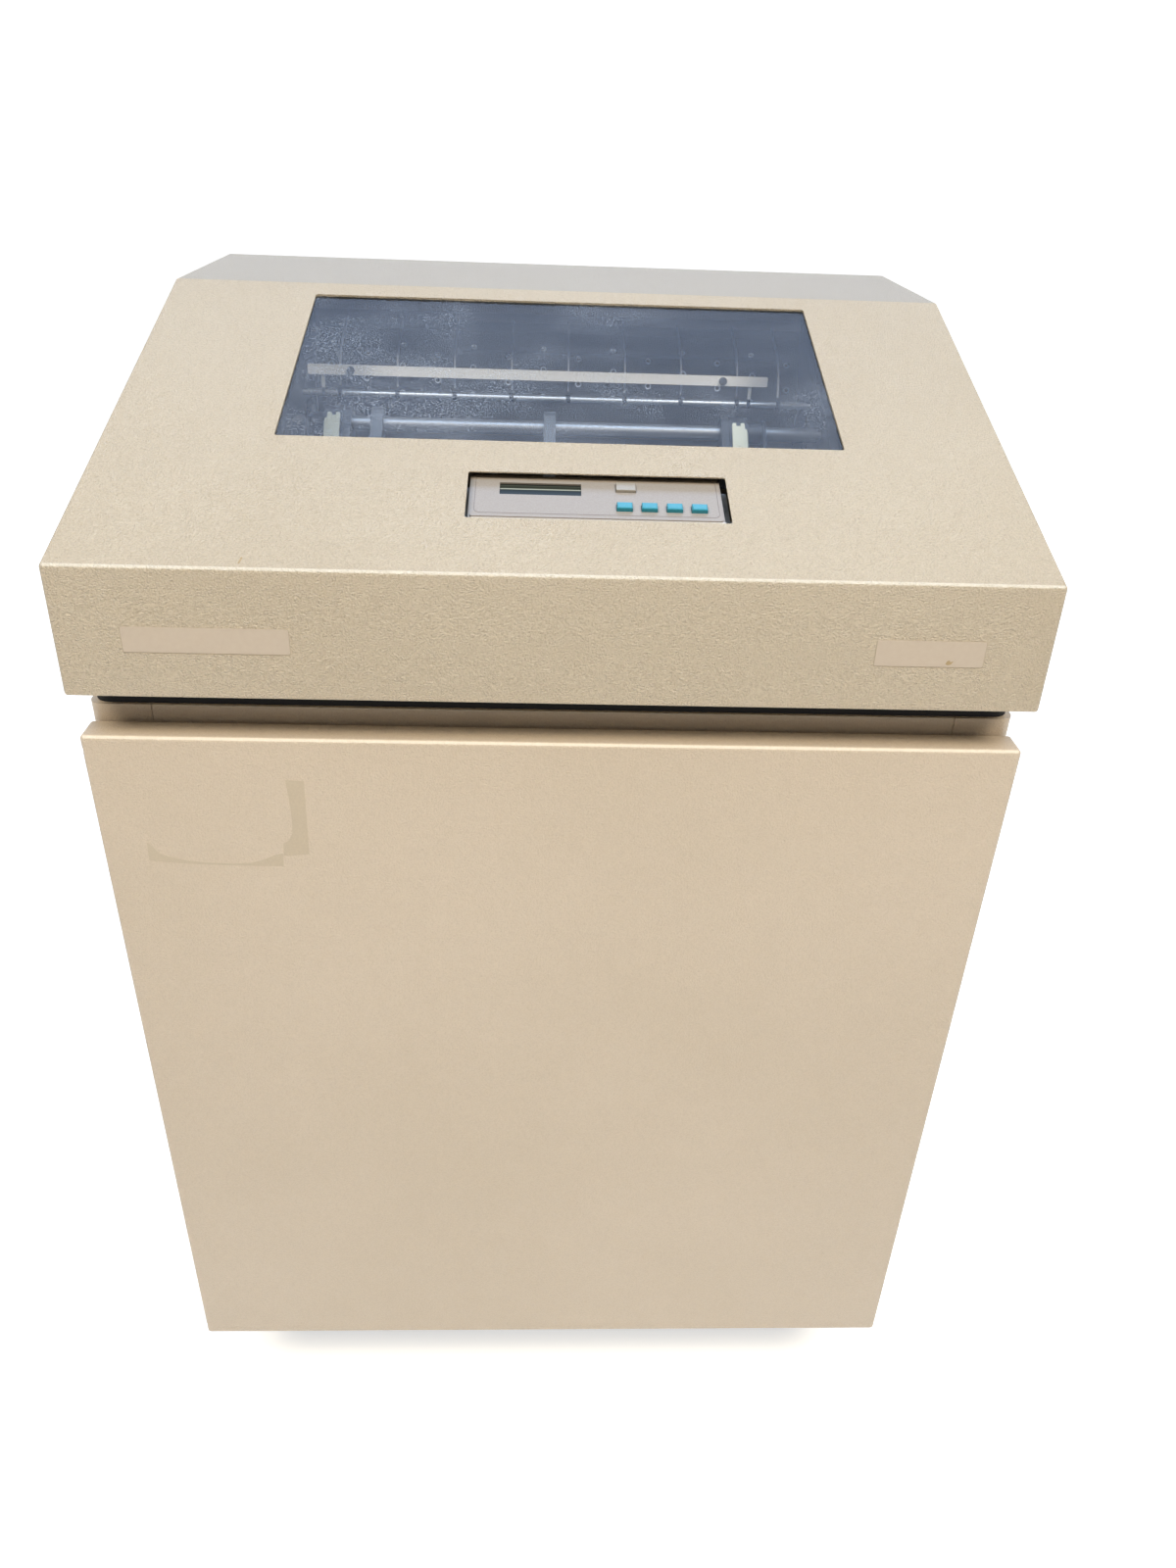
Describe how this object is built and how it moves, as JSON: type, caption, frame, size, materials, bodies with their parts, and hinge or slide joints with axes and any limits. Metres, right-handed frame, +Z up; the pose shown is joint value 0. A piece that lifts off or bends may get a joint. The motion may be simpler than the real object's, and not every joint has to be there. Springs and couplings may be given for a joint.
{
  "type": "line printer",
  "caption": "Floor-standing line printer in a quiet cabinet: hinged windowed hood, tractor paper feed, front and rear doors, control panel and swivel casters.",
  "frame": {"origin": "on the floor, under the middle of the cabinet", "axes": "+X to the operator's right, +Y to the rear, +Z up"},
  "size_m": [0.686, 0.737, 1.067],
  "materials": {
    "beige_steel": "textured",
    "beige_shell": "textured",
    "tinted_window": "gloss",
    "black_foam": "matte",
    "grey_foam": "matte",
    "zinc_sheet": "satin",
    "cast_alloy": "satin",
    "ground_steel": "satin",
    "black_paint": "satin",
    "dark_plastic": "satin",
    "cream_plastic": "satin",
    "clear_plastic": "gloss",
    "white_scale": "satin",
    "panel_grey": "satin",
    "display_black": "gloss",
    "key_grey": "satin",
    "key_teal": "satin",
    "ribbon_ink": "matte",
    "caster_steel": "satin",
    "caster_tread": "matte"
  },
  "bodies": {
    "cabinet": {"base_frame": "black_paint", "card_cage": "zinc_sheet", "control_panel": "panel_grey", "control_panel_bracket": "zinc_sheet", "curved_shield": "clear_plastic", "deck_plate": "zinc_sheet", "display_module": "display_black", "feed_motor": "black_paint", "guide_rod": "ground_steel", "guide_rod_clips": "dark_plastic", "header_panels": "beige_steel", "hinge_rear_leaves": "zinc_sheet", "hood_seal": "black_foam", "left_side_panel": "beige_steel", "paper_guide_ribs": "dark_plastic", "paper_scale": "white_scale", "rear_cover": "beige_shell", "rear_port_panel": "dark_plastic", "ribbon_web": "ribbon_ink", "right_side_panel": "beige_steel", "scale_screws": "zinc_sheet", "shuttle_frame": "cast_alloy", "side_frames": "cast_alloy", "stacker_basket": "zinc_sheet", "support_shaft": "ground_steel"},
    "hood": {"hood_shell": "beige_shell", "hood_window": "tinted_window", "hood_liner": "grey_foam", "hinge_hood_leaves": "zinc_sheet"},
    "front_door": {"front_door_shell": "beige_steel", "front_door_liner": "grey_foam"},
    "rear_door": {"rear_door_shell": "beige_steel"},
    "spring_cylinder": {"gas_spring_cylinder": "black_paint"},
    "spring_rod": {"gas_spring_rod": "ground_steel"},
    "rocker": {"power_rocker": "dark_plastic"},
    "drive": {"drive_shaft": "ground_steel"},
    "platen_bar": {"platen": "ground_steel"},
    "lever": {"forms_lever": "dark_plastic"},
    "tractor_l": {"tractor_left": "dark_plastic"},
    "tractor_r": {"tractor_right": "dark_plastic"},
    "tractor_door_l": {"tractor_left_door": "cream_plastic"},
    "tractor_door_r": {"tractor_right_door": "cream_plastic"},
    "support_l": {"paper_support_left": "dark_plastic"},
    "support_c": {"paper_support_centre": "dark_plastic"},
    "hammers": {"hammer_bank": "cast_alloy"},
    "spool_l": {"ribbon_spool_left": "dark_plastic"},
    "spool_r": {"ribbon_spool_right": "dark_plastic"},
    "button_grey": {"key_grey": "key_grey"},
    "button_clear": {"key_clear": "key_teal"},
    "button_feed": {"key_feed": "key_teal"},
    "button_eject": {"key_eject": "key_teal"},
    "button_online": {"key_online": "key_teal"},
    "fork_front_left": {"caster_fork_front_left": "caster_steel"},
    "wheel_front_left": {"caster_wheel_front_left": "caster_tread"},
    "fork_front_right": {"caster_fork_front_right": "caster_steel"},
    "wheel_front_right": {"caster_wheel_front_right": "caster_tread"},
    "fork_rear_left": {"caster_fork_rear_left": "caster_steel"},
    "wheel_rear_left": {"caster_wheel_rear_left": "caster_tread"},
    "fork_rear_right": {"caster_fork_rear_right": "caster_steel"},
    "wheel_rear_right": {"caster_wheel_rear_right": "caster_tread"}
  },
  "joints": [
    {"name": "hood_hinge", "type": "hinge", "parent": "cabinet", "child": "hood", "pos_m": [0, 0.223, 1.057], "axis": [-1, 0, 0], "range_deg": [0, 60]},
    {"name": "gas_spring_swing", "type": "hinge", "parent": "cabinet", "child": "spring_cylinder", "pos_m": [0.303, 0.14, 0.83], "axis": [1, 0, 0], "range_deg": [0, 1.76]},
    {"name": "gas_spring_stroke", "type": "slide", "parent": "spring_cylinder", "child": "spring_rod", "axis": [0, 0.1924, 0.9813], "range_m": [0, 0.0483]},
    {"name": "front_door_hinge", "type": "hinge", "parent": "cabinet", "child": "front_door", "pos_m": [-0.336, -0.3485, 0.467], "axis": [0, 0, -1], "range_deg": [0, 100]},
    {"name": "rear_door_hinge", "type": "hinge", "parent": "cabinet", "child": "rear_door", "pos_m": [0.336, 0.3485, 0.467], "axis": [0, 0, -1], "range_deg": [0, 100]},
    {"name": "key_grey_press", "type": "slide", "parent": "cabinet", "child": "button_grey", "axis": [0, 0.3059, -0.9521], "range_m": [0, 0.0012], "stiffness_N_per_m": 300, "springref_m": -0.001},
    {"name": "key_clear_press", "type": "slide", "parent": "cabinet", "child": "button_clear", "axis": [0, 0.3059, -0.9521], "range_m": [0, 0.0012], "stiffness_N_per_m": 300, "springref_m": -0.001},
    {"name": "key_feed_press", "type": "slide", "parent": "cabinet", "child": "button_feed", "axis": [0, 0.3059, -0.9521], "range_m": [0, 0.0012], "stiffness_N_per_m": 300, "springref_m": -0.001},
    {"name": "key_eject_press", "type": "slide", "parent": "cabinet", "child": "button_eject", "axis": [0, 0.3059, -0.9521], "range_m": [0, 0.0012], "stiffness_N_per_m": 300, "springref_m": -0.001},
    {"name": "key_online_press", "type": "slide", "parent": "cabinet", "child": "button_online", "axis": [0, 0.3059, -0.9521], "range_m": [0, 0.0012], "stiffness_N_per_m": 300, "springref_m": -0.001},
    {"name": "power_rocker_tip", "type": "hinge", "parent": "cabinet", "child": "rocker", "pos_m": [-0.211, 0.3555, 0.9], "axis": [1, 0, 0], "range_deg": [0, 16]},
    {"name": "drive_shaft_turn", "type": "hinge", "parent": "cabinet", "child": "drive", "pos_m": [0, -0.04, 0.925], "axis": [1, 0, 0], "continuous": true},
    {"name": "forms_lever_swing", "type": "hinge", "parent": "cabinet", "child": "lever", "pos_m": [0.258, 0.03, 0.905], "axis": [-1, 0, 0], "range_deg": [0, 35]},
    {"name": "platen_turn", "type": "hinge", "parent": "cabinet", "child": "platen_bar", "pos_m": [0, -0.046, 0.868], "axis": [-1, 0, 0], "range_deg": [0, 14]},
    {"name": "tractor_left_slide", "type": "slide", "parent": "cabinet", "child": "tractor_l", "axis": [1, 0, 0], "range_m": [-0.004, 0.016]},
    {"name": "tractor_right_slide", "type": "slide", "parent": "cabinet", "child": "tractor_r", "axis": [1, 0, 0], "range_m": [-0.15, 0.044]},
    {"name": "paper_support_left_slide", "type": "slide", "parent": "cabinet", "child": "support_l", "axis": [1, 0, 0], "range_m": [-0.016, 0.14]},
    {"name": "paper_support_centre_slide", "type": "slide", "parent": "cabinet", "child": "support_c", "axis": [1, 0, 0], "range_m": [-0.14, 0.15]},
    {"name": "tractor_left_door_hinge", "type": "hinge", "parent": "tractor_l", "child": "tractor_door_l", "pos_m": [-0.211, -0.03525, 0.94995], "axis": [0, -0.7311, -0.6823], "range_deg": [0, 110]},
    {"name": "tractor_right_door_hinge", "type": "hinge", "parent": "tractor_r", "child": "tractor_door_r", "pos_m": [0.171, -0.03525, 0.94995], "axis": [0, 0.7311, 0.6823], "range_deg": [0, 110]},
    {"name": "hammer_bank_shuttle", "type": "slide", "parent": "cabinet", "child": "hammers", "axis": [1, 0, 0], "range_m": [-0.0065, 0.0065]},
    {"name": "ribbon_spool_right_turn", "type": "hinge", "parent": "cabinet", "child": "spool_r", "pos_m": [0.236, -0.2, 0.863], "axis": [0, 0, 1], "continuous": true},
    {"name": "ribbon_spool_left_turn", "type": "hinge", "parent": "cabinet", "child": "spool_l", "pos_m": [-0.236, -0.2, 0.863], "axis": [0, 0, 1], "continuous": true},
    {"name": "caster_front_left_swivel", "type": "hinge", "parent": "cabinet", "child": "fork_front_left", "pos_m": [-0.3, -0.24, 0.09], "axis": [0, 0, 1], "continuous": true},
    {"name": "caster_front_left_roll", "type": "hinge", "parent": "fork_front_left", "child": "wheel_front_left", "pos_m": [-0.3, -0.215, 0.0375], "axis": [1, 0, 0], "continuous": true},
    {"name": "caster_front_right_swivel", "type": "hinge", "parent": "cabinet", "child": "fork_front_right", "pos_m": [0.3, -0.24, 0.09], "axis": [0, 0, 1], "continuous": true},
    {"name": "caster_front_right_roll", "type": "hinge", "parent": "fork_front_right", "child": "wheel_front_right", "pos_m": [0.3, -0.215, 0.0375], "axis": [1, 0, 0], "continuous": true},
    {"name": "caster_rear_left_swivel", "type": "hinge", "parent": "cabinet", "child": "fork_rear_left", "pos_m": [-0.3, 0.24, 0.09], "axis": [0, 0, 1], "continuous": true},
    {"name": "caster_rear_left_roll", "type": "hinge", "parent": "fork_rear_left", "child": "wheel_rear_left", "pos_m": [-0.3, 0.265, 0.0375], "axis": [1, 0, 0], "continuous": true},
    {"name": "caster_rear_right_swivel", "type": "hinge", "parent": "cabinet", "child": "fork_rear_right", "pos_m": [0.3, 0.24, 0.09], "axis": [0, 0, 1], "continuous": true},
    {"name": "caster_rear_right_roll", "type": "hinge", "parent": "fork_rear_right", "child": "wheel_rear_right", "pos_m": [0.3, 0.265, 0.0375], "axis": [1, 0, 0], "continuous": true}
  ],
  "couplings": [
    {"joint": "gas_spring_swing", "follows": "hood_hinge", "ratio": 0.029182},
    {"joint": "gas_spring_stroke", "follows": "hood_hinge", "m_per_rad": 0.046077},
    {"joint": "platen_turn", "follows": "forms_lever_swing", "ratio": 0.4},
    {"joint": "ribbon_spool_left_turn", "follows": "ribbon_spool_right_turn", "ratio": 1}
  ]
}
